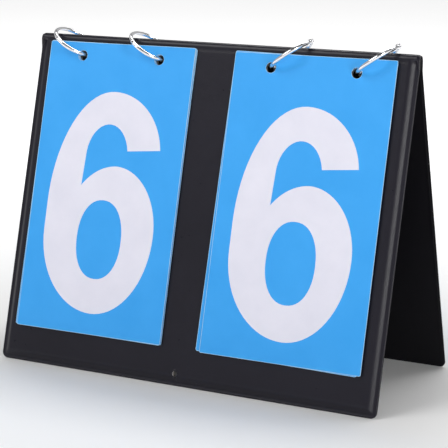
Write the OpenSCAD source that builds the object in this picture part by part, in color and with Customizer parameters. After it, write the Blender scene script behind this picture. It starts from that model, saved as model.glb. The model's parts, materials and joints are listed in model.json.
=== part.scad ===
// Tabletop flip scoring board: two vinyl-covered stiff panels joined by a fold
// along the top, four loose-leaf rings over the fold, and two packs of number cards.
// X runs along the fold, +Y to the rear, +Z up. The origin is on the table, midway
// between the feet of the two panels.

/* [Board] */
// Width of the board along the fold
board_w = 240; // [200:1:300]
// Length of a panel from the fold line to its lower edge
panel_l = 191.8; // [150:0.1:240]
// Lean of each panel from upright when the board stands open
tilt = 15.6; // [12:0.1:22]
// Thickness of the stiff core inside each panel
core_t = 2; // [1.6:0.2:2]
// Thickness of one layer of vinyl sheet
vinyl_t = 0.5; // [0.3:0.1:0.6]
// Width of the welded rim outside the core
rim_w = 5; // [3:0.5:8]
// Run of the cover's slope from the core down to the rim
rim_slope = 2.2; // [1:0.2:3]
// Radius of the panels' lower corners
corner_r = 3.5; // [1:0.5:6]
// Radius of the ring holes through the panels
panel_hole_r = 3.4; // [3.2:0.1:3.6]
// Distance of the ring holes below the fold line
hole_drop = 9.7; // [9:0.1:12]
// Radius of the small tie hole near each panel's lower edge
tie_hole_r = 1.5; // [1:0.1:2.5]
// Height of the tie hole above the lower edge
tie_hole_up = 6.6; // [6:0.1:12]
// Sideways place of the tie hole
tie_hole_x = -2; // [-10:0.5:10]

/* [Cards] */
// Width of a number card
card_w = 97.2; // [85:0.1:105]
// Height of a number card
card_h = 169; // [140:0.5:170]
// Thickness of a number card
card_t = 0.38; // [0.3:0.02:0.4]
// Distance from one card's face to the next in a pack
card_pitch = 0.45; // [0.45:0.01:0.5]
// Gap between the panel and the innermost card
card_gap = 0.2; // [0.2:0.05:0.3]
// Distance from the line midway between the packs to the middle of a card
card_x = 60.8; // [55:0.1:70]
// Sideways place of the line midway between the packs
pack_shift = -1; // [-3:0.1:3]
// Distance of a card's top edge above its holes' centres
card_top = 7.9; // [6:0.1:9]
// Radius of the holes in a card
card_hole_r = 3.1; // [3.1:0.1:3.4]
// Distance between a card's two holes
hole_pitch = 51.5; // [40:0.5:70]
// Radius of a card's corners
card_corner_r = 1; // [0.5:0.5:3]
// Cards of each pack that hang on the front: those from this digit up to 9
front_digit = 6; // [1:1:8]

/* [Rings] */
// Radius of a ring's wire circle
ring_r = 13; // [13:0.5:14]
// Radius of the ring wire
wire_r = 1.2; // [1:0.05:1.2]
// Lean of the left-hand rings from upright
left_lean = -57; // [-60:1:-40]
// Lean of the right-hand rings from upright
right_lean = 55; // [40:1:60]
// Place of the hinge pin round a left-hand ring, from its lowest point to the rear
left_pin_at = 60; // [50:1:70]
// Place of the hinge pin round a right-hand ring, from its lowest point to the rear
right_pin_at = 176; // [170:1:180]
// Radius of the hinge lug at the end of each half ring
lug_r = 2.0; // [1.8:0.1:2.2]
// Thickness of a hinge lug
lug_t = 1.15; // [0.9:0.05:1.3]
// Radius of the hinge pin
pin_r = 0.6; // [0.5:0.05:0.8]

/* [Hidden] */
$fn = 96;
panel_t = core_t + 2 * vinyl_t;
flange_t = 2 * vinyl_t;
// The welded rim's inner edge is the board's foot
fold_z = panel_l * cos(tilt);
core_top = 3;
lining_top = 1;
eps = 0.01;
cut = 20;
lap_gap = 0.15;
running_gap = 0.05;
// Angle through which each panel's lap runs on under the fold strip
fold_lap = 60;
// Angle kept free between the fold strip and each cover, so that the board can open wider
fold_play = 7;

// Rings cross the packs a little above the holes' centres, where the cards hang
ring_up = 0.6;
// Depth inside the panel and its cards where the ring's lean axis crosses the hole
ring_depth = 2.6;
chord_y = (hole_drop - ring_up) * sin(tilt) + ring_depth * cos(tilt);
chord_z = fold_z - (hole_drop - ring_up) * cos(tilt) + ring_depth * sin(tilt);
ring_rise = sqrt(ring_r * ring_r - chord_y * chord_y);
lug_arc = 10;
strap_w = 1.8 * wire_r;
strap_l = 3.2;
clasp_gap = 0.3;
tongue_r = 0.55;
tongue_l = 1.5;
socket_r = 0.7;
socket_l = 1.8;
head_r = 1.05;
head_t = 0.3;

vinyl = [0.13, 0.12, 0.15];
lining_vinyl = [0.09, 0.09, 0.11];
greyboard = [0.55, 0.52, 0.48];
card_blue = [0.2, 0.55, 0.93];
chrome = [0.82, 0.83, 0.85];

digits = [0 : 9];
ring_x = [
    pack_shift - card_x - hole_pitch / 2,
    pack_shift - card_x + hole_pitch / 2,
    pack_shift + card_x - hole_pitch / 2,
    pack_shift + card_x + hole_pitch / 2
];

// A panel's own frame: the fold line at the origin, +Z up the slope, -Y outward
module on_front() {
    translate([0, 0, fold_z]) rotate([-tilt, 0, 0]) children();
}

module on_back() {
    mirror([0, 1, 0]) on_front() children();
}

// A slab in the panel's frame, from one depth to another, of a 2D outline
module slab(depth, thick) {
    translate([0, -depth, 0]) rotate([90, 0, 0]) linear_extrude(thick) children();
}

// A rectangle that hangs from a height, with two round lower corners
module hanging_sheet(w, top, bottom, r) {
    translate([-w / 2, bottom + r]) square([w, top - bottom - r]);
    translate([-w / 2 + r, bottom]) square([w - 2 * r, r + eps]);
    for (side = [-1, 1]) {
        translate([side * (w / 2 - r), bottom + r]) circle(r);
    }
}

module panel_holes() {
    for (x = ring_x) {
        translate([x, cut / 2, -hole_drop]) rotate([90, 0, 0]) cylinder(h = cut, r = panel_hole_r);
    }
    translate([tie_hole_x, cut / 2, tie_hole_up - panel_l]) rotate([90, 0, 0]) cylinder(h = cut, r = tie_hole_r);
}

module core_block() {
    core_w = board_w - 2 * rim_w;
    translate([-core_w / 2, -vinyl_t - core_t, rim_w - panel_l]) cube([core_w, core_t, panel_l - rim_w - core_top]);
}

module core() {
    difference() {
        core_block();
        panel_holes();
    }
}

module lining() {
    difference() {
        slab(0, vinyl_t) hanging_sheet(board_w, -lining_top, -panel_l, corner_r);
        panel_holes();
    }
}

// The cover's outline seen along the slope: raised over the core, low at both rims
module cover_across() {
    half = board_w / 2;
    ridge = half - rim_w + vinyl_t;
    foot = ridge + rim_slope;
    polygon([
        [-half, -vinyl_t], [half, -vinyl_t], [half, -flange_t], [foot, -flange_t], [ridge, -panel_t],
        [-ridge, -panel_t], [-foot, -flange_t], [-half, -flange_t]
    ]);
}

// The cover's outline seen from the side: low at the rim along the lower edge
module cover_along() {
    ridge = rim_w - vinyl_t;
    foot = ridge - rim_slope;
    polygon([
        [-vinyl_t, 0], [-vinyl_t, panel_l], [-panel_t, panel_l], [-panel_t, ridge],
        [-flange_t, foot], [-flange_t, 0]
    ]);
}

module cover() {
    difference() {
        intersection() {
            translate([0, 0, -panel_l]) linear_extrude(panel_l) cover_across();
            translate([-board_w / 2, 0, -panel_l]) rotate([90, 0, 90]) linear_extrude(board_w) cover_along();
            slab(0, panel_t + 1) hanging_sheet(board_w, 0, -panel_l, corner_r);
        }
        core_block();
        translate([-board_w, -vinyl_t - core_t, -core_top - eps]) cube([2 * board_w, core_t, cut]);
        panel_holes();
    }
}

// A layer of the fold, a shell round the fold line; angles run from straight down over the rear
module fold_layer(r_in, r_out, from, to) {
    translate([-board_w / 2, 0, fold_z]) rotate([0, 90, 0]) rotate([0, 0, from])
        rotate_extrude(angle = to - from) translate([r_in, 0]) square([r_out - r_in, board_w]);
}

// The vinyl bridging the two covers, which turns half as far as the panels do
module fold_strip() {
    color(vinyl) fold_layer(panel_t - vinyl_t, panel_t, 90 + tilt + fold_play, 270 - tilt - fold_play);
}

// The turned edge of the rear panel's lining, which fills the fold under the strip
module fold_lap_layer() {
    inner_r = panel_t - 2 * vinyl_t - lap_gap;
    color(lining_vinyl) fold_layer(inner_r, inner_r + vinyl_t, 90 + tilt, 90 + tilt + fold_lap);
}

module front_fold_lap() { mirror([0, 1, 0]) fold_lap_layer(); }
module back_fold_lap() { fold_lap_layer(); }

module front_core() { color(greyboard) on_front() core(); }
module back_core() { color(greyboard) on_back() core(); }
module front_lining() { color(lining_vinyl) on_front() lining(); }
module back_lining() { color(lining_vinyl) on_back() lining(); }
module front_cover() { color(vinyl) on_front() cover(); }
module back_cover() { color(vinyl) on_back() cover(); }

// Where ring n stands: its hole, its lean and the place of its hinge pin
function is_left(n) = n <= 2;
function lean(n) = is_left(n) ? left_lean : right_lean;
function pin_at(n) = is_left(n) ? left_pin_at : right_pin_at;

// A ring's own frame: its centre at the origin, +X down through its lowest point,
// +Y to the rear and +Z along its axis, turned so that the hinge pin is on +X
module ring_frame(n) {
    translate([ring_x[n - 1], 0, chord_z]) rotate([0, lean(n), 0])
        translate([0, 0, ring_rise]) rotate([0, 90, 0]) rotate([0, 0, pin_at(n)]) children();
}

module wire_arc(from, to) {
    rotate([0, 0, from]) rotate_extrude(angle = to - from) translate([ring_r, 0]) circle(wire_r);
}

// The flattened hinge end of a half ring lies in one layer, above or below the ring's plane
module hinge_lug(side) {
    low = side > 0 ? running_gap : -running_gap - lug_t;
    translate([ring_r, 0, low]) cylinder(h = lug_t, r = lug_r);
    mirror([0, side > 0 ? 0 : 1, 0]) translate([ring_r - strap_w / 2, 0, low]) cube([strap_w, strap_l, lug_t]);
}

module gate_half(n) {
    color(chrome) ring_frame(n) difference() {
        union() {
            wire_arc(lug_arc, 180 - clasp_gap);
            hinge_lug(1);
        }
        translate([ring_r, 0, -cut / 2]) cylinder(h = cut, r = pin_r + running_gap);
        rotate([0, 0, 180]) translate([ring_r, eps, 0]) rotate([90, 0, 0]) cylinder(h = socket_l, r = socket_r);
    }
}

module fixed_half(n) {
    color(chrome) ring_frame(n) difference() {
        union() {
            wire_arc(180 + clasp_gap, 360 - lug_arc);
            hinge_lug(-1);
            rotate([0, 0, 180 + clasp_gap + 1]) translate([ring_r, 0, 0]) rotate([90, 0, 0])
                cylinder(h = tongue_l, r = tongue_r);
        }
        translate([ring_r, 0, -cut / 2]) cylinder(h = cut, r = pin_r);
    }
}

module hinge_pin(n) {
    low = -running_gap - lug_t;
    high = running_gap + lug_t;
    color(chrome) ring_frame(n) translate([ring_r, 0, 0]) {
        translate([0, 0, low - head_t]) cylinder(h = high - low + 2 * head_t + running_gap, r = pin_r);
        translate([0, 0, low - head_t]) cylinder(h = head_t, r = head_r);
        translate([0, 0, high + running_gap]) cylinder(h = head_t, r = head_r);
    }
}

// Cards hang a little askew in their roomy holes, in degrees from digit to digit
front_skew = [0.4, -0.1, 0.35, -0.2];
right_front_skew = [0.3, -0.6, -0.5, -0.6];
back_skew = [0.1, -0.3, 0.25, -0.2, 0.15, 0.05];

function on_the_front(digit) = digit >= front_digit;
// Places from the panel outwards: 9 is innermost in front, 0 is innermost behind
function place(digit) = on_the_front(digit) ? 9 - digit : digit;
function depth_of(digit) = panel_t + card_gap + place(digit) * card_pitch;
function skew(side, digit) = !on_the_front(digit) ? back_skew[digit]
    : side < 0 ? front_skew[digit - front_digit]
    : right_front_skew[digit - front_digit];

// A leaned ring carries the outer cards of a pack sideways, and lifts those behind
first_shift = 0.1;
shift_rate = 0.36;
back_rise = 0.5;
function shift(side, digit) = side * (first_shift + shift_rate * place(digit) * card_pitch);
function rise(digit) = on_the_front(digit) ? 0 : back_rise;

module card_outline() {
    bottom = card_top - card_h;
    difference() {
        union() {
            translate([-card_w / 2 + card_corner_r, bottom]) square([card_w - 2 * card_corner_r, card_h]);
            translate([-card_w / 2, bottom + card_corner_r]) square([card_w, card_h - 2 * card_corner_r]);
            for (x = [-1, 1], z = [bottom + card_corner_r, card_top - card_corner_r]) {
                translate([x * (card_w / 2 - card_corner_r), z]) circle(card_corner_r);
            }
        }
        for (x = [-1, 1]) {
            translate([x * hole_pitch / 2, 0]) circle(card_hole_r);
        }
    }
}

module hung_card(side, digit) {
    translate([pack_shift + side * card_x + shift(side, digit), 0, rise(digit) - hole_drop]) rotate([0, -skew(side, digit), 0])
        slab(depth_of(digit), card_t) card_outline();
}

module card(side, digit) {
    color(card_blue) {
        if (on_the_front(digit)) {
            on_front() hung_card(side, digit);
        } else {
            on_back() hung_card(side, digit);
        }
    }
}

front_core();
front_cover();
front_lining();
back_core();
back_cover();
back_lining();
fold_strip();
front_fold_lap();
back_fold_lap();
for (n = [1 : 4]) {
    fixed_half(n);
    gate_half(n);
    hinge_pin(n);
}
for (digit = digits) {
    card(-1, digit);
    card(1, digit);
}
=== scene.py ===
# Tabletop flip scoring board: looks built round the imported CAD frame, in metres.
# Two vinyl-covered panels joined by a fold, four loose-leaf rings and two packs of number cards.
import json
import math

import bpy
from mathutils import Matrix, Vector
from mathutils.geometry import delaunay_2d_cdt
from mathutils.noise import noise


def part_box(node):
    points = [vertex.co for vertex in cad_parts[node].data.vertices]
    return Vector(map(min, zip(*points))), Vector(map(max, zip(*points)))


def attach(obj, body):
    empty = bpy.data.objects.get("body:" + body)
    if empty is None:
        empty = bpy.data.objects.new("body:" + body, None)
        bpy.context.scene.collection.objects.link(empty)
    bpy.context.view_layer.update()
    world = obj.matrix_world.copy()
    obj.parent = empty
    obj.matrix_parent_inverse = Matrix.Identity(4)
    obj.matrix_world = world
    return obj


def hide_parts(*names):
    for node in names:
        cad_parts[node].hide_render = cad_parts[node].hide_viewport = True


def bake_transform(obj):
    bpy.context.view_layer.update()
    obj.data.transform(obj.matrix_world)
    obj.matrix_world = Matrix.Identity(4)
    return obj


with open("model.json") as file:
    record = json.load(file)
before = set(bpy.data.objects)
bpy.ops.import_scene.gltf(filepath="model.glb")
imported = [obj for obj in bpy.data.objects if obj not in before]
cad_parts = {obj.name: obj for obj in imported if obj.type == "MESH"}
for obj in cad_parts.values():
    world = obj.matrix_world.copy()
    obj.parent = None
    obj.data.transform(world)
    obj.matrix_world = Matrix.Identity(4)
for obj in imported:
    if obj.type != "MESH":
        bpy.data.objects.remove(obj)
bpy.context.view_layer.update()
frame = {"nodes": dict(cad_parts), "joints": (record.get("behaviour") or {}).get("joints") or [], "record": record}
MM = 0.001

# ---------------------------------------------------------------- sizes
# Sizes that the frame doesn't give are those of the CAD source.
joints = {j["name"]: j for j in frame["joints"]}
mounts = {m["name"]: m for m in frame["record"]["mounts"]}
FOLD_Z = joints["board_fold"]["pos_m"][2]
TILT = math.asin(mounts["front_tie_hole"]["axis"][2])
SIN, COS = math.sin(TILT), math.cos(TILT)
cover_low, cover_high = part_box("front_cover")
BOARD_W = cover_high.x - cover_low.x
PANEL_L = FOLD_Z / COS
PANEL_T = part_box("fold_strip")[1].z - FOLD_Z
VINYL_T = 0.5 * MM
FLANGE_T = 2 * VINYL_T
CORNER_R = 3.5 * MM
PANEL_HOLE_R = 3.4 * MM
HOLE_DROP = 9.7 * MM
TIE_HOLE_R = mounts["front_tie_hole"]["dims"]["r_mm"] * MM
TIE_HOLE_X = mounts["front_tie_hole"]["pos_m"][0]
TIE_HOLE_UP = 6.6 * MM
RINGS = [1, 2, 3, 4]
ring_x = [joints[f"ring_{n}_lean"]["pos_m"][0] for n in RINGS]
HOLE_PITCH = ring_x[1] - ring_x[0]
CARD_HOLE_R = 3.1 * MM
CARD_TOP = 7.9 * MM
CARD_CORNER_R = 1 * MM
RING_R = 13 * MM
WIRE_R = 1.2 * MM
LUG_R = 2 * MM
LUG_T = 1.15 * MM
RUNNING_GAP = 0.05 * MM
FRONT, BACK = -1, 1
# A triangle is outside a hole when its middle is beyond this share of the hole's radius
NEARLY = 0.998
# The four corners of an outline, anticlockwise: their signs, and the angle where each round starts
CORNERS = ((1, -1, -90), (1, 1, 0), (-1, 1, 90), (-1, -1, 180))


# ---------------------------------------------------------------- small helpers
def smooth(t):
    """An even rise from 0 to 1."""
    t = min(1.0, max(0.0, t))
    return t * t * (3 - 2 * t)


def mix(a, b, t):
    return a + (b - a) * t


def on_panel(side, x, v, w):
    """A point v up the slope from the fold line, and w outward from the panel's inner face."""
    return Vector((x, side * (w * COS - v * SIN), FOLD_Z + w * SIN + v * COS))


def to_panel(side, p):
    """(x, v, w) of a point, the inverse of on_panel."""
    y, z = side * p.y, p.z - FOLD_Z
    return p.x, z * COS - y * SIN, y * COS + z * SIN


def make_object(name, verts, faces, face_materials, materials, sharp=30):
    """A smooth-shaded mesh object whose edges are sharp above an angle in degrees."""
    mesh = bpy.data.meshes.new(name)
    mesh.from_pydata([tuple(v) for v in verts], [], faces)
    for m in materials:
        mesh.materials.append(m)
    mesh.polygons.foreach_set("material_index", face_materials)
    mesh.polygons.foreach_set("use_smooth", [True] * len(faces))
    mesh.set_sharp_from_angle(angle=math.radians(sharp))
    mesh.validate()
    mesh.update()
    obj = bpy.data.objects.new(name, mesh)
    bpy.context.scene.collection.objects.link(obj)
    return obj


def triangulate(common, inner_loops, points, solid):
    """The triangles of a plane region, with its points and where each common point went."""
    verts, edges = [], []
    for loop in common + inner_loops:
        first = len(verts)
        verts += [Vector(p) for p in loop]
        edges += [(first + i, first + (i + 1) % len(loop)) for i in range(len(loop))]
    verts += [Vector(p) for p in points]
    out, _, tris, sources, _, _ = delaunay_2d_cdt(verts, edges, [], 0, 1e-9, True)
    where = {}
    for k, ids in enumerate(sources):
        for i in ids:
            where[i] = k
    kept = []
    for t in tris:
        a, b, c = (out[i] for i in t)
        if solid((a + b + c) / 3):
            kept.append(t if (b - a).cross(c - a) > 0 else t[::-1])
    return out, kept, where


def closed_sheet(name, common, faces, materials, side_materials, sharp=30):
    """A thin closed sheet between two faces that share their edge loops.
    Each of faces is (inner loops, points, solid, place, material of a point).
    The sides along each common loop have the material that side_materials gives for it."""
    verts, tris, mats, spots = [], [], [], []
    for turn, (loops, points, solid, place, mat) in enumerate(faces):
        flat, kept, where = triangulate(common, loops, points, solid)
        used = sorted({i for t in kept for i in t})
        at = {i: len(verts) + k for k, i in enumerate(used)}
        verts += [place(flat[i].x, flat[i].y) for i in used]
        spots.append({i: at[k] for i, k in where.items() if k in at})
        for t in kept:
            tri = [at[i] for i in t]
            tris.append(tri[::-1] if turn else tri)
            centre = (flat[t[0]] + flat[t[1]] + flat[t[2]]) / 3
            mats.append(mat(centre))
    first = 0
    for loop, side_material in zip(common, side_materials):
        for i in range(len(loop)):
            a, b = first + i, first + (i + 1) % len(loop)
            # an outline runs anticlockwise and a hole clockwise, so the side faces out of the sheet
            tris.append([spots[0][b], spots[0][a], spots[1][a], spots[1][b]])
            mats.append(side_material)
        first += len(loop)
    return make_object(name, verts, tris, mats, materials, sharp)


def circle(cx, cy, r, steps, clockwise=False):
    turn = -2 * math.pi if clockwise else 2 * math.pi
    angles = [turn * i / steps for i in range(steps)]
    return [(cx + r * math.cos(a), cy + r * math.sin(a)) for a in angles]


# ---------------------------------------------------------------- materials
def new_material(name):
    m = bpy.data.materials.new(name)
    m.use_nodes = True
    nodes = m.node_tree.nodes
    return m, nodes, m.node_tree.links, nodes["Principled BSDF"]


def noise_node(nodes, links, coords, scale, detail, roughness=0.55):
    n = nodes.new("ShaderNodeTexNoise")
    n.inputs["Scale"].default_value = scale
    n.inputs["Detail"].default_value = detail
    n.inputs["Roughness"].default_value = roughness
    links.new(coords, n.inputs["Vector"])
    return n


def ramp_node(nodes, links, source, stops):
    """A colour ramp of (place, colour) stops."""
    n = nodes.new("ShaderNodeValToRGB")
    ramp = n.color_ramp
    while len(ramp.elements) < len(stops):
        ramp.elements.new(0.5)
    for element, (at, colour) in zip(ramp.elements, stops):
        element.position = at
        element.color = (*colour, 1)
    links.new(source, n.inputs["Fac"])
    return n


def grey(v):
    return (v, v, v)


def rough_from(nodes, links, shader, source, low_at, low, high_at, high):
    """Roughness that follows a texture, from low to high."""
    gloss = ramp_node(nodes, links, source, [(low_at, grey(low)), (high_at, grey(high))])
    links.new(gloss.outputs["Color"], shader.inputs["Roughness"])


def bump_node(nodes, links, height, distance, strength, after=None):
    n = nodes.new("ShaderNodeBump")
    n.inputs["Distance"].default_value = distance
    n.inputs["Strength"].default_value = strength
    links.new(height, n.inputs["Height"])
    if after is not None:
        links.new(after.outputs["Normal"], n.inputs["Normal"])
    return n


def vinyl_material(name, dark, light, rough_low, rough_high, grain, gloss_level):
    """Calendered vinyl sheet: a fine pebbled grain, soft waves over the board and faint scuffs."""
    m, nodes, links, shader = new_material(name)
    coords = nodes.new("ShaderNodeTexCoord").outputs["Object"]
    patches = noise_node(nodes, links, coords, scale=16, detail=5)
    scuffs = noise_node(nodes, links, coords, scale=240, detail=6, roughness=0.7)
    colour = ramp_node(nodes, links, patches.outputs["Fac"], [(0.3, dark), (0.72, light)])
    dust = ramp_node(nodes, links, scuffs.outputs["Fac"], [(0.74, grey(0.0)), (0.82, grey(0.28))])
    lifted = nodes.new("ShaderNodeMix")
    lifted.data_type = "RGBA"
    links.new(dust.outputs["Color"], lifted.inputs["Factor"])
    links.new(colour.outputs["Color"], lifted.inputs["A"])
    lifted.inputs["B"].default_value = (0.09, 0.085, 0.1, 1)
    links.new(lifted.outputs["Result"], shader.inputs["Base Color"])
    rough_from(nodes, links, shader, scuffs.outputs["Fac"], 0.3, rough_low, 0.7, rough_high)
    pebbles = nodes.new("ShaderNodeTexVoronoi")
    pebbles.inputs["Scale"].default_value = grain
    links.new(coords, pebbles.inputs["Vector"])
    waves = bump_node(nodes, links, patches.outputs["Fac"], distance=0.35 * MM, strength=0.6)
    pebble_height = pebbles.outputs["Distance"]
    fine = bump_node(nodes, links, pebble_height, distance=0.035 * MM, strength=0.6, after=waves)
    links.new(fine.outputs["Normal"], shader.inputs["Normal"])
    shader.inputs["Specular IOR Level"].default_value = gloss_level
    return m


def print_material(name, dark, light, rough):
    """Printed semi-gloss plastic card: faint ink mottle and a fine calendered surface."""
    m, nodes, links, shader = new_material(name)
    coords = nodes.new("ShaderNodeTexCoord").outputs["Object"]
    mottle = noise_node(nodes, links, coords, scale=55, detail=6, roughness=0.6)
    colour = ramp_node(nodes, links, mottle.outputs["Fac"], [(0.3, dark), (0.7, light)])
    links.new(colour.outputs["Color"], shader.inputs["Base Color"])
    tooth = noise_node(nodes, links, coords, scale=1800, detail=3)
    rough_from(nodes, links, shader, mottle.outputs["Fac"], 0.3, rough - 0.04, 0.7, rough + 0.05)
    slack = noise_node(nodes, links, coords, scale=9, detail=2)
    bend = bump_node(nodes, links, slack.outputs["Fac"], distance=0.5 * MM, strength=0.5)
    tooth_height = tooth.outputs["Fac"]
    fine = bump_node(nodes, links, tooth_height, distance=0.006 * MM, strength=0.5, after=bend)
    links.new(fine.outputs["Normal"], shader.inputs["Normal"])
    shader.inputs["Specular IOR Level"].default_value = 0.4
    return m


def chrome_material(name):
    """Bright plated wire with drawing lines, fine rubs and slightly uneven polish."""
    m, nodes, links, shader = new_material(name)
    coords = nodes.new("ShaderNodeTexCoord").outputs["Object"]
    cloud = noise_node(nodes, links, coords, scale=420, detail=5, roughness=0.6)
    plate = [(0.3, (0.74, 0.745, 0.77)), (0.7, (0.9, 0.9, 0.92))]
    colour = ramp_node(nodes, links, cloud.outputs["Fac"], plate)
    links.new(colour.outputs["Color"], shader.inputs["Base Color"])
    rough_from(nodes, links, shader, cloud.outputs["Fac"], 0.3, 0.05, 0.75, 0.16)
    rubs = noise_node(nodes, links, coords, scale=2600, detail=3)
    fine = bump_node(nodes, links, rubs.outputs["Fac"], distance=0.006 * MM, strength=0.35)
    links.new(fine.outputs["Normal"], shader.inputs["Normal"])
    shader.inputs["Metallic"].default_value = 1.0
    return m


def board_material(name):
    """Bookbinder's grey board, short fibres and darker flecks."""
    m, nodes, links, shader = new_material(name)
    coords = nodes.new("ShaderNodeTexCoord").outputs["Object"]
    fibres = noise_node(nodes, links, coords, scale=700, detail=8, roughness=0.75)
    stops = [(0.25, (0.13, 0.12, 0.1)), (0.5, (0.27, 0.25, 0.22)), (0.8, (0.36, 0.34, 0.3))]
    colour = ramp_node(nodes, links, fibres.outputs["Fac"], stops)
    links.new(colour.outputs["Color"], shader.inputs["Base Color"])
    rough_from(nodes, links, shader, fibres.outputs["Fac"], 0.3, 0.82, 0.7, 0.95)
    fine = bump_node(nodes, links, fibres.outputs["Fac"], distance=0.05 * MM, strength=0.7)
    links.new(fine.outputs["Normal"], shader.inputs["Normal"])
    return m


VINYL = vinyl_material(
    "cover_vinyl_sheet", dark=(0.008, 0.0072, 0.0136), light=(0.011, 0.0098, 0.0175),
    rough_low=0.27, rough_high=0.36, grain=1300, gloss_level=0.32,
)
# The lining's colour is set several times darker than the cover's vinyl: painted shade for the shaded inside of
# the fold.
LINING_WITH_PAINTED_SHADE = vinyl_material(
    "lining_vinyl_painted_shade", dark=(0.0018, 0.0016, 0.0032), light=(0.0038, 0.0034, 0.0062),
    rough_low=0.45, rough_high=0.57, grain=1700, gloss_level=0.25,
)
# Light grey for the tie holes' walls only: a painted highlight, so the lit wall shows as a bright crescent. The
# ring holes' walls stay black.
TIE_HOLE_WALL_PAINTED_HIGHLIGHT = vinyl_material(
    "tie_hole_wall_painted_highlight", dark=(0.26, 0.255, 0.28), light=(0.42, 0.41, 0.44),
    rough_low=0.5, rough_high=0.6, grain=2000, gloss_level=0.4,
)
CARD_BLUE = print_material("card_blue_print", (0.034, 0.362, 0.875), (0.042, 0.39, 0.915), 0.4)
CARD_WHITE = print_material("card_digit_print", (0.76, 0.755, 0.86), (0.81, 0.8, 0.9), 0.42)
CARD_EDGE = print_material("card_cut_edge", (0.3, 0.58, 0.86), (0.48, 0.72, 0.92), 0.55)
CHROME = chrome_material("ring_chrome_plate")
GREYBOARD = board_material("greyboard_core")

for core in ("front_core", "back_core"):
    node = frame["nodes"][core]
    node.data.materials.clear()
    node.data.materials.append(GREYBOARD)

# ---------------------------------------------------------------- vinyl cover and lining
# Both sheets run in one piece from the front panel's foot over the fold to the rear foot.
# Their flat coordinates are x and s: the distance along the cover from the top of the fold.
FOLD_TURN = math.pi / 2 - TILT
FOLD_RUN = PANEL_T * FOLD_TURN
HALF_W = BOARD_W / 2
HALF_S = PANEL_L + FOLD_RUN


def on_sheet(x, s, w):
    """A point of the sheet at depth w outside the panels' inner faces, round the fold at its top."""
    if abs(s) >= FOLD_RUN:
        side = FRONT if s < 0 else BACK
        return on_panel(side, x, FOLD_RUN - abs(s), w)
    angle = s / PANEL_T
    return Vector((x, w * math.sin(angle), FOLD_Z + w * math.cos(angle)))


def edge_distance(x, s):
    """Distance inward from the sheet's outline, whose four corners are round."""
    dx, ds = HALF_W - abs(x), HALF_S - abs(s)
    if dx < CORNER_R and ds < CORNER_R:
        return CORNER_R - math.hypot(CORNER_R - dx, CORNER_R - ds)
    return min(dx, ds)


HOLES = [(x, side * (FOLD_RUN + HOLE_DROP), PANEL_HOLE_R) for side in (FRONT, BACK) for x in ring_x]
TIE_HOLES = [(TIE_HOLE_X, side * (HALF_S - TIE_HOLE_UP), TIE_HOLE_R) for side in (FRONT, BACK)]

# The cover's relief, as distances in from its edge, heights and widths
EDGE_R, EDGE_DROP = 0.35 * MM, 0.22 * MM
BEAD_AT, BEAD_HIGH, BEAD_WIDE = 0.55 * MM, 0.11 * MM, 0.4 * MM
BEAD_AT_FOOT = 0.3
WELD_AT, WELD_DEEP, WELD_WIDE = 1.5 * MM, 0.14 * MM, 0.55 * MM
RISE_FROM, RISE_TO = 2.1 * MM, 5.8 * MM
SWELL_POWER, SWELL_SOFT = 0.9, 0.45
TURN_RUN = 4 * MM
WAVE_HIGH, WAVE_SCALE, WAVE_SLICE = 0.05 * MM, 26, 0.3

# How the cover leaves its rim at the fold, and the shallow crease on each side of the fold
FOLD_RUN_IN, FOLD_RUN_EDGE, FOLD_RUN_WIDE = 2.2 * MM, 8 * MM, 2.4 * MM
FOLD_END, FOLD_END_WIDE, FOLD_SINK = 0.82, 1.6 * MM, 0.05 * MM
CREASE_AT, CREASE_WIDE, CREASE_DEEP, CREASE_RUN = 1.6 * MM, 1.1 * MM, 0.1 * MM, 6 * MM

# Dimples at the ring holes, a lip round each tie hole and a faint crease from there to the foot
HOLE_REACH, DIMPLE_DEEP, DIMPLE_WIDE = 3 * MM, 0.16 * MM, 1.4 * MM
LIP_AT, LIP_WIDE, LIP_HIGH_LEFT, LIP_HIGH_RIGHT = 0.35 * MM, 0.35 * MM, 0.39 * MM, 0.09 * MM
CREASE_X, FOOT_CREASE_WIDE, FOOT_CREASE_DEEP = 0.4 * MM, 0.35 * MM, 0.16 * MM

# The lining's lift over the core's end, and the bead near its edge
LIFT_FROM, LIFT_RUN, LIFT_HIGH = 0.4 * MM, 2.2 * MM, 1.3 * MM
LIFT_EDGE_RUN, LIFT_AT_EDGE = 4 * MM, 0.35
LINING_SINK, LINING_SPARE = 0.02 * MM, 0.03 * MM
LINING_BEAD_AT, LINING_BEAD_HIGH, LINING_BEAD_WIDE = 1.4 * MM, 0.16 * MM, 0.35 * MM


def hump(distance, width):
    """A smooth hump, 1 at no distance."""
    return math.exp(-((distance / width) ** 2))


def rim_height(x, s, d):
    """The welded rim: a round edge, a bead that is lower along the feet, and the weld line."""
    at_side = smooth((abs(x) - HALF_W - abs(s) + HALF_S) / TURN_RUN + 0.5)
    rim = FLANGE_T + BEAD_HIGH * mix(BEAD_AT_FOOT, 1, at_side) * hump(d - BEAD_AT, BEAD_WIDE)
    rim -= WELD_DEEP * hump(d - WELD_AT, WELD_WIDE)
    return rim - EDGE_DROP * (1 - min(1.0, d / EDGE_R)) ** 2


def hole_relief(x, s):
    """What the holes add to the cover's height."""
    added = 0.0
    for hx, hs, r in HOLES:
        gap = math.hypot(x - hx, s - hs) - r
        if gap < HOLE_REACH:
            added -= DIMPLE_DEEP * (1 - smooth(gap / DIMPLE_WIDE))
    for hx, hs, r in TIE_HOLES:
        gap = math.hypot(x - hx, s - hs) - r
        if gap < HOLE_REACH:
            added += (LIP_HIGH_LEFT if x < hx else LIP_HIGH_RIGHT) * hump(gap - LIP_AT, LIP_WIDE)
        if abs(s) > abs(hs) and s * hs > 0:
            added -= FOOT_CREASE_DEEP * hump(x - hx - CREASE_X, FOOT_CREASE_WIDE)
    return added


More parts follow.
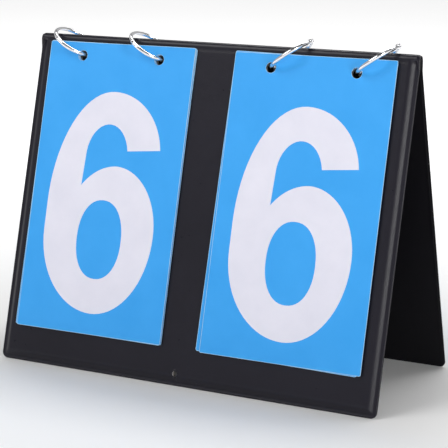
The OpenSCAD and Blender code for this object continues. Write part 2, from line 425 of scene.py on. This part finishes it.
def cover_height(x, s):
    """Depth of the cover's outer face: rim, the slope up to the core, the fold and the holes."""
    d = edge_distance(x, s)
    away = max(0.0, abs(s) - FOLD_RUN)
    t = min(1.0, max(0.0, (d - RISE_FROM) / (RISE_TO - RISE_FROM)))
    swell = math.sin(t * math.pi / 2) ** SWELL_POWER if t > 0 else 0.0
    w = mix(rim_height(x, s, d), PANEL_T, mix(swell, smooth(t), SWELL_SOFT))
    at_fold = 1 - smooth(away / mix(FOLD_RUN_EDGE, FOLD_RUN_IN, smooth(d / FOLD_RUN_WIDE)))
    fold_edge = mix(FOLD_END, 1.0, smooth(d / FOLD_END_WIDE)) * (PANEL_T - FOLD_SINK)
    w = mix(w, max(w, fold_edge), at_fold)
    w -= CREASE_DEEP * hump(away - CREASE_AT, CREASE_WIDE) * smooth(d / CREASE_RUN)
    wave = noise(Vector((x, s, WAVE_SLICE)) * WAVE_SCALE)
    return w + hole_relief(x, s) + WAVE_HIGH * wave * smooth(d / RISE_TO)


def cover_inside(x, s):
    return cover_height(x, s) - VINYL_T


def lining_height(x, s):
    """Depth of the lining's outer face: on the core, then over the core's end and round the fold."""
    away = abs(s) - FOLD_RUN
    lift = 1 - smooth((away - LIFT_FROM) / LIFT_RUN)
    lift *= smooth(edge_distance(x, s) / LIFT_EDGE_RUN + LIFT_AT_EDGE)
    return VINYL_T - LINING_SINK + LIFT_HIGH * lift


def lining_inside(x, s):
    bead = hump(edge_distance(x, s) - LINING_BEAD_AT, LINING_BEAD_WIDE)
    return lining_height(x, s) - (VINYL_T - LINING_SPARE) - LINING_BEAD_HIGH * bead


def spread(values):
    """Grid lines on both sides of a sheet's middle, in rising order and without repeats."""
    return sorted({round(sign * v, 7) for v in values for sign in (-1, 1)})


def edge_steps(half):
    """Grid lines near an edge, close together where the rim and its slope bend."""
    near = [0.12, 0.25, 0.4, 0.6, 0.85, 1.1, 1.4, 1.7, 2.1, 2.5, 3.0, 3.5, 4.1, 4.8, 5.6, 6.5, 8.0]
    return [half - n * MM for n in near]


ARC_STEPS = 12
ACROSS_STEPS = 13
DOWN_STEPS = 30
BESIDE_FOLD = 0.5 * MM
BESIDE_STEPS = 13
FIELD_FROM = FOLD_RUN + 8 * MM
FIELD_TO = 9 * MM
GRID_X = spread(
    edge_steps(HALF_W)
    + [(HALF_W - FIELD_TO) * i / ACROSS_STEPS for i in range(ACROSS_STEPS + 1)]
)
GRID_S = spread(
    edge_steps(HALF_S)
    + [FOLD_RUN * i / ARC_STEPS for i in range(ARC_STEPS + 1)]
    + [FOLD_RUN + i * BESIDE_FOLD for i in range(1, BESIDE_STEPS + 1)]
    + [mix(FIELD_FROM, HALF_S - FIELD_TO, i / DOWN_STEPS) for i in range(DOWN_STEPS + 1)]
)
HOLE_CLEAR = 2.1 * MM
HOLE_GAPS = (0.2, 0.4, 0.65, 0.95, 1.3, 1.8)
HOLE_RING_STEPS = 40
HOLE_STEPS = 48
CORNER_STEPS = 8
MIN_GAP = 0.2 * MM
PATCH_STEP = 0.3 * MM


def sheet_points():
    """Inner points of a sheet: a grid, rings round each hole and a patch under each tie hole."""
    points = []
    for x in GRID_X:
        for s in GRID_S:
            gap = min(math.hypot(x - hx, s - hs) - r for hx, hs, r in HOLES + TIE_HOLES)
            if gap >= HOLE_CLEAR and edge_distance(x, s) > MIN_GAP / 2:
                points.append((x, s))
    for hx, hs, r in HOLES + TIE_HOLES:
        for gap in HOLE_GAPS:
            points += circle(hx, hs, r + gap * MM, HOLE_RING_STEPS)
    for hx, hs, _ in TIE_HOLES:
        side = math.copysign(1, hs)
        for i in range(-3, 4):
            x = hx + CREASE_X + i * PATCH_STEP
            points += [(x, side * (HALF_S - j * PATCH_STEP)) for j in range(1, 10)]
    return points


def sheet_outline():
    """The sheet's outline, anticlockwise: the grid's lines at its sides, and four round corners."""
    outline = []
    straight_x, straight_s = HALF_W - CORNER_R, HALF_S - CORNER_R
    xs = [x for x in GRID_X if abs(x) < straight_x - MIN_GAP]
    ss = [s for s in GRID_S if abs(s) < straight_s - MIN_GAP]
    sides = [
        [(HALF_W, s) for s in ss], [(x, HALF_S) for x in reversed(xs)],
        [(-HALF_W, s) for s in reversed(ss)], [(x, -HALF_S) for x in xs],
    ]
    for (sx, sy, start), straight in zip(CORNERS, sides):
        for i in range(CORNER_STEPS + 1):
            a = math.radians(start + 90 * i / CORNER_STEPS)
            x = sx * straight_x + CORNER_R * math.cos(a)
            outline.append((x, sy * straight_s + CORNER_R * math.sin(a)))
        outline += straight
    return outline


def not_a_hole(p):
    return all(math.hypot(p.x - hx, p.y - hs) > r * NEARLY for hx, hs, r in HOLES + TIE_HOLES)


def sheet_piece(name, outer, inner, material):
    """A whole sheet with its holes, between two heights that depend on the place in it."""
    rims = [circle(hx, hs, r, HOLE_STEPS, True) for hx, hs, r in HOLES + TIE_HOLES]
    loops = [sheet_outline()] + rims
    points = sheet_points()
    faces = [
        ([], points, not_a_hole, lambda x, s: on_sheet(x, s, outer(x, s)), lambda p: 0),
        ([], points, not_a_hole, lambda x, s: on_sheet(x, s, inner(x, s)), lambda p: 0),
    ]
    # the tie holes' walls take the light grey painted highlight; the outline and the ring holes keep the sheet's
    # own vinyl
    sides = [0] * (1 + len(HOLES)) + [1] * len(TIE_HOLES)
    return closed_sheet(name, loops, faces, [material, TIE_HOLE_WALL_PAINTED_HIGHLIGHT], sides, 50)


cover = sheet_piece("vinyl_cover", cover_height, cover_inside, VINYL)
lining = sheet_piece("vinyl_lining", lining_height, lining_inside, LINING_WITH_PAINTED_SHADE)
COVER_NODES = ("front_cover", "back_cover", "fold_strip")
LINING_NODES = ("front_lining", "back_lining", "front_fold_lap", "back_fold_lap")
for sheet, reach, slot, nodes in (
    (cover, PANEL_T * 0.95, "cover_vinyl", COVER_NODES),
    (lining, 1.52 * MM, "lining_vinyl", LINING_NODES),
):
    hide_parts(*nodes)
    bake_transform(sheet)

# ---------------------------------------------------------------- digits
# A digit stands on z 0, DIGIT_H high and centred on x 0, in millimetres.
# It is drawn as closed loops: those that are printed, and those left blank inside them.
DIGIT_H = 129.0
STROKE = 21.0
MERGE = 0.02


def oval(cx, cz, a, b, start, stop, power=2.0, steps=18):
    """Part of a superellipse, in degrees from +x."""
    points = []
    for i in range(steps + 1):
        t = math.radians(mix(start, stop, i / steps))
        c, s = math.cos(t), math.sin(t)
        x = math.copysign(abs(c) ** (2 / power), c)
        z = math.copysign(abs(s) ** (2 / power), s)
        points.append((cx + a * x, cz + b * z))
    return points


def ribbon(path):
    """A closed band one stroke wide along a path, with square ends."""
    left, right = [], []
    for i, (x, z) in enumerate(path):
        ax, az = path[max(0, i - 1)]
        bx, bz = path[min(len(path) - 1, i + 1)]
        run = math.hypot(bx - ax, bz - az)
        nx, nz = -(bz - az) / run * STROKE / 2, (bx - ax) / run * STROKE / 2
        left.append((x + nx, z + nz))
        right.append((x - nx, z - nz))
    return left + right[::-1]


def tidy_loop(loop):
    """A loop without points that coincide."""
    kept = []
    for p in loop:
        if not kept or math.dist(p, kept[-1]) > MERGE:
            kept.append(p)
    if math.dist(kept[0], kept[-1]) <= MERGE:
        kept.pop()
    return kept


def six():
    """A tall bold 6: a hooked top with a level cut end, a tall left side and an oval bowl."""
    loop = oval(0.5, 92, 34.5, 37, 8, 90)
    loop += oval(0.5, 62, 37.2, 67, 90, 180)
    loop += oval(1.5, 46, 38.2, 46, 180, 270)
    loop += oval(1.5, 48, 35.2, 48, 270, 360)
    loop += oval(7, 48, 29.7, 38, 0, 90)
    loop += oval(8, 43, 32.6, 43, 90, 135)
    loop += oval(-0.3, 91, 13.9, 19, 180, 13)
    return [loop], [oval(1.2, 43, 14.9, 22.9, 0, 360, 2.2, 48)]


def nine():
    def turned(loops):
        return [[(-x, DIGIT_H - z) for x, z in loop] for loop in loops]

    solid, hollow = six()
    return turned(solid), turned(hollow)


def zero():
    mid = DIGIT_H / 2
    return [oval(0, mid, 36.5, mid, 0, 360, 2.3, 72)], [oval(0, mid, 15, mid - 20, 0, 360, 2.3, 56)]


def one():
    flag = [(19, DIGIT_H), (3, DIGIT_H)] + oval(-24, DIGIT_H, 27, 24, 0, -85, 2, 10)
    return [flag + [(-22, 86), (-3, 93), (-3, 0), (19, 0)]], []


def two():
    path = oval(0, 92, 25, 26.5, 178, -25, 2.1, 30) + [(14, 66), (-8, 38), (-23, 16)]
    return [ribbon(path), [(-36, 0), (35, 0), (35, 20), (-36, 20)]], []


def three():
    upper = ribbon(oval(-1, 95.5, 24, 23, 172, -88, 2.1, 30))
    lower = ribbon(oval(-1, 37, 26.5, 26.5, 88, -172, 2.1, 30))
    return [upper, lower, [(-10, 56), (4, 56), (4, 76), (-10, 76)]], []


def four():
    body = [(2, 0), (23, 0), (23, 28), (37, 28), (37, 47), (23, 47), (23, DIGIT_H), (-2, DIGIT_H)]
    return [body + [(-38, 49), (-38, 28), (2, 28)]], [[(2, 47), (2, 94), (-18, 47)]]


def five():
    flag = [(-27, DIGIT_H), (31, DIGIT_H), (31, 109), (-9, 109), (-13, 74), (-33, 61)]
    return [flag, ribbon(oval(1, 42, 25.5, 31.5, 142, -160, 2.1, 36))], []


def swept(start, end, t):
    """A point of the 7's curved stroke."""
    bow = 28.8 * t * (1 - t)
    return mix(start[0], end[0], t) - bow, mix(start[1], end[1], t)


def seven():
    inner = [(11, 109), (-36, 109)]
    outer = [(-36, DIGIT_H), (36, DIGIT_H), (36, 112)]
    sweep = [swept((36, 112), (-2, 0), i / 16) for i in range(1, 17)]
    back = [swept((-24, 0), (11, 109), i / 16) for i in range(16)]
    return [outer + sweep + back + inner], []


def eight():
    bowls = [oval(0, 96, 32.5, 33, 0, 360, 2.1, 56), oval(0, 37, 36.5, 37, 0, 360, 2.1, 64)]
    waist = [(-20, 58), (20, 58), (20, 76), (-20, 76)]
    upper_hollow = oval(0, 96.5, 11.8, 14.5, 0, 360, 2.2, 40)
    lower_hollow = oval(0, 37, 15, 18.5, 0, 360, 2.2, 44)
    return bowls + [waist], [upper_hollow, lower_hollow]


DIGITS = [zero, one, two, three, four, five, six, seven, eight, nine]


def inside(p, loop):
    """Whether a point is inside a closed loop."""
    x, z = p
    hit = False
    for i in range(len(loop)):
        (x1, z1), (x2, z2) = loop[i - 1], loop[i]
        if (z1 > z) != (z2 > z) and x < (x2 - x1) * (z - z1) / (z2 - z1) + x1:
            hit = not hit
    return hit


# ---------------------------------------------------------------- number cards
DIGIT_SHIFT = -1.0
DIGIT_UP = 12.0
FRONT_DIGIT = 6
LAST_DIGIT = 9
BARE_EDGE = 0.26 * MM
BARE_HOLE = 0.12 * MM
CARD_HOLE_STEPS = 40
CARD_CORNER_STEPS = 4
# How far the middle of a round corner stands in from its sides, in corner radii
CORNER_CUT = 0.293
BLUE_PRINT, WHITE_PRINT, BARE = 0, 1, 2


def card_place(node, side):
    """A CAD card's centre, size, turn in its own plane and depths, in its panel's coordinates."""
    spots = [to_panel(side, v.co) for v in frame["nodes"][node].data.vertices]
    low_left = min(spots, key=lambda p: p[0] + p[1])
    top_left = min(spots, key=lambda p: p[0] - p[1])
    low_right = max(spots, key=lambda p: p[0] - p[1])
    turn = math.atan2(top_left[0] - low_left[0], top_left[1] - low_left[1])
    xs, vs, ws = zip(*spots)
    cut = 2 * CARD_CORNER_R * CORNER_CUT
    high = math.hypot(top_left[0] - low_left[0], top_left[1] - low_left[1]) + cut
    wide = math.hypot(low_right[0] - low_left[0], low_right[1] - low_left[1]) + cut
    return ((min(xs) + max(xs)) / 2, (min(vs) + max(vs)) / 2, wide, high, turn, min(ws), max(ws))


def card_piece(name, node, side, digit):
    """A number card where its CAD node is: two holes, a printed digit and a bare cut edge."""
    cx, cv, wide, high, turn, w_in, w_out = card_place(node, side)
    half_w, half_h = wide / 2, high / 2

    def rounded(inset):
        """The card's outline with round corners, or a line that far inside it."""
        loop = []
        r = CARD_CORNER_R - inset
        for sx, sz, start in CORNERS:
            for i in range(CARD_CORNER_STEPS + 1):
                a = math.radians(start + 90 * i / CARD_CORNER_STEPS)
                ox, oz = sx * (half_w - CARD_CORNER_R), sz * (half_h - CARD_CORNER_R)
                loop.append((ox + r * math.cos(a), oz + r * math.sin(a)))
        return loop

    outline, border = rounded(0), rounded(BARE_EDGE)
    hole_z = half_h - CARD_TOP
    hole_xs = (-HOLE_PITCH / 2, HOLE_PITCH / 2)
    holes = [circle(x, hole_z, CARD_HOLE_R, CARD_HOLE_STEPS, True) for x in hole_xs]
    bare_holes = [circle(x, hole_z, CARD_HOLE_R + BARE_HOLE, CARD_HOLE_STEPS) for x in hole_xs]

    def on_card(point, mirror):
        x, z = point
        return mirror * (x + DIGIT_SHIFT) * MM, (z + DIGIT_UP) * MM - half_h

    def printed(number, mirror):
        """A digit's printed and blank loops on the card, or none after the last digit."""
        if number > LAST_DIGIT:
            return [], []
        return [
            [[on_card(point, mirror) for point in tidy_loop(loop)] for loop in loops]
            for loops in DIGITS[number]()
        ]

    def solid_card(p):
        return all(math.hypot(p.x - x, p.y - hole_z) > CARD_HOLE_R * NEARLY for x in hole_xs)

    def place(w):
        """Puts a point of the card's plane at a depth."""
        def at(x, z):
            px = cx + x * math.cos(turn) + z * math.sin(turn)
            pv = cv + z * math.cos(turn) - x * math.sin(turn)
            return on_panel(side, px, pv, w)
        return at

    def ink(solid, hollow):
        """Tells which print covers a point of the card's face."""
        def at(p):
            if not inside(p, border) or any(inside(p, loop) for loop in bare_holes):
                return BARE
            blank = any(inside(p, loop) for loop in hollow)
            drawn = any(inside(p, loop) for loop in solid) and not blank
            return WHITE_PRINT if drawn else BLUE_PRINT
        return at

    # The reverse of each card bears the next digit, so both sides of the board show the same score
    own, following = printed(digit, 1), printed(digit + 1, -1)
    own_w, following_w = (w_out, w_in) if side == FRONT else (w_in, w_out)
    faces = [
        ([border] + bare_holes + ways[0] + ways[1], [], solid_card, place(w), ink(*ways))
        for ways, w in ((own, own_w), (following, following_w))
    ]
    materials = [CARD_BLUE, CARD_WHITE, CARD_EDGE]
    return closed_sheet(name, [outline] + holes, faces, materials, [BARE] * (1 + len(holes)))


for pack in ("left", "right"):
    for digit in range(LAST_DIGIT + 1):
        side = FRONT if digit >= FRONT_DIGIT else BACK
        node = f"{pack}_card_{digit}"
        card = card_piece(f"{pack}_number_{digit}", node, side, digit)
        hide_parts(node)
        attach(card, node)

# ---------------------------------------------------------------- rings
AROUND = 24
ROUND, LUG_SQUARE = 2, 4.5
LUG_STEPS, TAPER_STEPS, WIRE_STEPS = 12, 12, 72
LUG_START = 0.06
CLASP_GAP = math.radians(0.3) * RING_R
TONGUE_R = 0.55 * MM
TONGUE_L = 1.5 * MM
SOCKET_R = 0.7 * MM
SOCKET_L = 1.8 * MM
PIN_R = 0.6 * MM
HEAD_R = 1.05 * MM
HEAD_T = 0.3 * MM
TAPER_FROM = 1.2 * MM
TAPER_TO = 6.5 * MM
END_BEVEL = 0.14 * MM


def ring_axes(n):
    """A ring's centre, the direction to its hinge pin, the direction of its gate and its axis."""
    lean = Vector(joints[f"ring_{n}_lean"]["pos_m"])
    pin = Vector(joints[f"ring_{n}_opening"]["pos_m"])
    axis = Vector(joints[f"ring_{n}_opening"]["axis"]).normalized()
    up = axis.cross(Vector((0, 1, 0)))
    along, beside = (pin - lean).dot(up), pin.y - lean.y
    reach = math.sqrt(RING_R ** 2 - beside ** 2)
    rise = next(r for r in (along + reach, along - reach) if 0 < r <= RING_R)
    centre = lean + rise * up
    to_pin = (pin - centre).normalized()
    return centre, to_pin, axis.cross(to_pin), axis


def half_ring_sections(gate):
    """The sections along a half ring, each as its distance from the pin, radial half width,
    axial half thickness, axial offset and squareness."""
    sections = []
    lug_offset = RUNNING_GAP + LUG_T / 2
    last = math.acos(-TAPER_FROM / LUG_R)
    for i in range(LUG_STEPS + 1):
        t = mix(LUG_START, last, i / LUG_STEPS)
        sections.append((-LUG_R * math.cos(t), LUG_R * math.sin(t), LUG_T / 2, lug_offset, LUG_SQUARE))
    waist = LUG_R * math.sin(last)
    lug, wire = (waist, LUG_T / 2, lug_offset, LUG_SQUARE), (WIRE_R, WIRE_R, 0, ROUND)
    for i in range(1, TAPER_STEPS + 1):
        t = i / TAPER_STEPS
        spot = mix(TAPER_FROM, TAPER_TO, t)
        sections.append((spot, *(mix(a, b, smooth(t)) for a, b in zip(lug, wire))))
    end = math.pi * RING_R - CLASP_GAP

    def round_section(spot, radius):
        sections.append((spot, radius, radius, 0, ROUND))

    for i in range(1, WIRE_STEPS + 1):
        round_section(mix(TAPER_TO, end - END_BEVEL, i / WIRE_STEPS), WIRE_R)
    round_section(end - END_BEVEL * 0.3, WIRE_R * 0.96)
    round_section(end, WIRE_R * 0.88)
    if gate:
        round_section(end, SOCKET_R)
        round_section(end - SOCKET_L, SOCKET_R)
    else:
        round_section(end, TONGUE_R)
        round_section(end + TONGUE_L * 0.8, TONGUE_R)
        round_section(end + TONGUE_L, TONGUE_R * 0.6)
    return sections


def half_ring(name, n, gate):
    """Half a ring, swept from the lug at its pin to the tongue or socket at its other end."""
    centre, to_pin, sideways, axis = ring_axes(n)
    way = 1 if gate else -1
    verts, faces = [], []
    sections = half_ring_sections(gate)
    for spot, radial, axial, offset, power in sections:
        a = way * spot / RING_R
        out = to_pin * math.cos(a) + sideways * math.sin(a)
        for k in range(AROUND):
            t = 2 * math.pi * k / AROUND
            c, s = math.cos(t), math.sin(t)
            x = math.copysign(abs(c) ** (2 / power), c) * radial
            z = math.copysign(abs(s) ** (2 / power), s) * axial + way * offset
            verts.append(centre + out * (RING_R + x) + axis * z)
    for i in range(len(sections) - 1):
        for k in range(AROUND):
            a, b = i * AROUND + k, i * AROUND + (k + 1) % AROUND
            quad = [a, b, b + AROUND, a + AROUND]
            faces.append(quad[::-1] if gate else quad)
    start, end = list(range(AROUND)), [len(verts) - AROUND + k for k in range(AROUND)]
    faces.append(start if gate else start[::-1])
    faces.append(end[::-1] if gate else end)
    return make_object(name, verts, faces, [0] * len(faces), [CHROME], 35)


def lathed(name, profile, spot, axis, material):
    """A closed turned shape: (radius, height) from one end of the axis to the other."""
    side = axis.orthogonal().normalized()
    other = axis.cross(side)
    verts, faces = [spot + axis * profile[0][1]], []
    for r, h in profile[1:-1]:
        for k in range(AROUND):
            t = 2 * math.pi * k / AROUND
            verts.append(spot + axis * h + (side * math.cos(t) + other * math.sin(t)) * r)
    verts.append(spot + axis * profile[-1][1])
    rows = len(profile) - 2
    for k in range(AROUND):
        faces.append([0, 1 + (k + 1) % AROUND, 1 + k])
        for i in range(rows - 1):
            a, b = 1 + i * AROUND + k, 1 + i * AROUND + (k + 1) % AROUND
            faces.append([a, b, b + AROUND, a + AROUND])
        last = 1 + (rows - 1) * AROUND
        faces.append([last + k, last + (k + 1) % AROUND, len(verts) - 1])
    return make_object(name, verts, faces, [0] * len(faces), [material], 35)


def rivet(name, n):
    """The hinge pin with a domed head over each lug."""
    centre, to_pin, _, axis = ring_axes(n)
    head = 2 * RUNNING_GAP + LUG_T
    dome = [(0.0, 1.0), (0.45, 0.93), (0.8, 0.68), (0.97, 0.36), (1.0, 0.0)]
    lower = [(r * HEAD_R, -head - h * HEAD_T) for r, h in dome]
    upper = [(r * HEAD_R, head + h * HEAD_T) for r, h in dome[::-1]]
    profile = lower + [(PIN_R, -head), (PIN_R, head)] + upper
    return lathed(name, profile, centre + to_pin * RING_R, axis, CHROME)


for n in RINGS:
    fixed = half_ring(f"ring_{n}_wire", n, False)
    gate = half_ring(f"ring_{n}_gate_wire", n, True)
    pin = rivet(f"ring_{n}_rivet", n)
    for piece, body, node in (
        (fixed, f"ring_{n}", f"ring_{n}_fixed_half"),
        (gate, f"ring_{n}_gate", f"ring_{n}_gate_half"),
        (pin, f"ring_{n}", f"ring_{n}_hinge_pin"),
    ):
        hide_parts(node)
        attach(piece, body)

# ---------------------------------------------------------------- floor, light and camera
FLOOR_REACH = 14.0
FLOOR_GAP = 0.1 * MM
GLOW_FROM, GLOW_TO, GLOW_LEVEL = 0.14, 0.75, 0.62


def floor_piece():
    m, nodes, links, shader = new_material("studio_floor")
    coords = nodes.new("ShaderNodeTexCoord").outputs["Object"]
    cloud = noise_node(nodes, links, coords, scale=3, detail=2)
    colour = ramp_node(nodes, links, cloud.outputs["Fac"], [(0.3, grey(0.9)), (0.7, grey(0.92))])
    links.new(colour.outputs["Color"], shader.inputs["Base Color"])
    shader.inputs["Roughness"].default_value = 0.9
    shader.inputs["Specular IOR Level"].default_value = 0.1
    # the floor glows a little away from the board, so the room has no grey end
    apart = nodes.new("ShaderNodeVectorMath")
    apart.operation = "LENGTH"
    links.new(coords, apart.inputs[0])
    glow = nodes.new("ShaderNodeMapRange")
    glow.inputs["From Min"].default_value = GLOW_FROM
    glow.inputs["From Max"].default_value = GLOW_TO
    glow.inputs["To Max"].default_value = GLOW_LEVEL
    links.new(apart.outputs["Value"], glow.inputs["Value"])
    shader.inputs["Emission Color"].default_value = (1, 1, 1, 1)
    links.new(glow.outputs["Result"], shader.inputs["Emission Strength"])
    corners = ((-1, -1), (1, -1), (1, 1), (-1, 1))
    verts = [Vector((x * FLOOR_REACH, y * FLOOR_REACH, -FLOOR_GAP)) for x, y in corners]
    return make_object("floor", verts, [[0, 1, 2, 3]], [0], [m])


floor_piece()


def soft_light(name, place, size, power):
    """A rectangular light that faces the middle of the board. The power is in watts."""
    data = bpy.data.lights.new(name, "AREA")
    data.shape = "RECTANGLE"
    data.size, data.size_y = size
    data.energy = power
    obj = bpy.data.objects.new(name, data)
    obj.location = place
    aim = Vector((0, 0, FOLD_Z / 2)) - obj.location
    obj.rotation_euler = aim.to_track_quat("-Z", "Y").to_euler()
    bpy.context.scene.collection.objects.link(obj)


soft_light("key", place=(-0.75, -0.95, 1.4), size=(0.9, 0.9), power=10.8)
soft_light("side", place=(1.3, -0.8, 0.45), size=(0.12, 0.9), power=7.8)
soft_light("top", place=(0, 0.72, 1.52), size=(1.7, 0.4), power=14)

world = bpy.data.worlds.new("studio")
bpy.context.scene.world = world
world.use_nodes = True
world_nodes, world_links = world.node_tree.nodes, world.node_tree.links
backdrop = world_nodes["Background"]
direction = world_nodes.new("ShaderNodeTexCoord").outputs["Generated"]
height = world_nodes.new("ShaderNodeSeparateXYZ")
world_links.new(direction, height.inputs["Vector"])
# A bright band round the room with a dim ceiling above it, so that the chrome has something dark
# to mirror: (sine of the height, brightness)
ROOM = ((0.0, 0.5), (0.5, 0.5), (0.62, 0.35), (0.72, 0.04), (0.93, 0.04), (1.0, 0.5))
stops = [(at, grey(level)) for at, level in ROOM]
room = ramp_node(world_nodes, world_links, height.outputs["Z"], stops)
world_links.new(room.outputs["Color"], backdrop.inputs["Color"])
backdrop.inputs["Strength"].default_value = 1.0

scene = bpy.context.scene
scene.view_settings.view_transform = "Standard"
scene.view_settings.look = "None"

# The camera's place round the board, as solved for the 240 mm wide board
AZIMUTH = math.radians(27.88)
ELEVATION = math.radians(12.61)
DISTANCE = 951.2 * MM
TARGET = Vector((1.48 * MM, 0, 83.28 * MM))
ROLL = 0.0003
SENSOR = 36.0
FIELD_OF_VIEW = math.radians(15.484)

camera_data = bpy.data.cameras.new("camera")
camera_data.sensor_width = SENSOR
camera_data.lens = SENSOR / 2 / math.tan(FIELD_OF_VIEW / 2)
camera = bpy.data.objects.new("camera", camera_data)
level = math.cos(ELEVATION)
backwards = Vector((math.sin(AZIMUTH) * level, -math.cos(AZIMUTH) * level, math.sin(ELEVATION)))
camera.location = TARGET + backwards * DISTANCE
turn = (-backwards).to_track_quat("-Z", "Y").to_matrix()
camera.rotation_euler = (turn @ Matrix.Rotation(ROLL, 3, "Z")).to_euler()
bpy.context.scene.collection.objects.link(camera)
scene.camera = camera
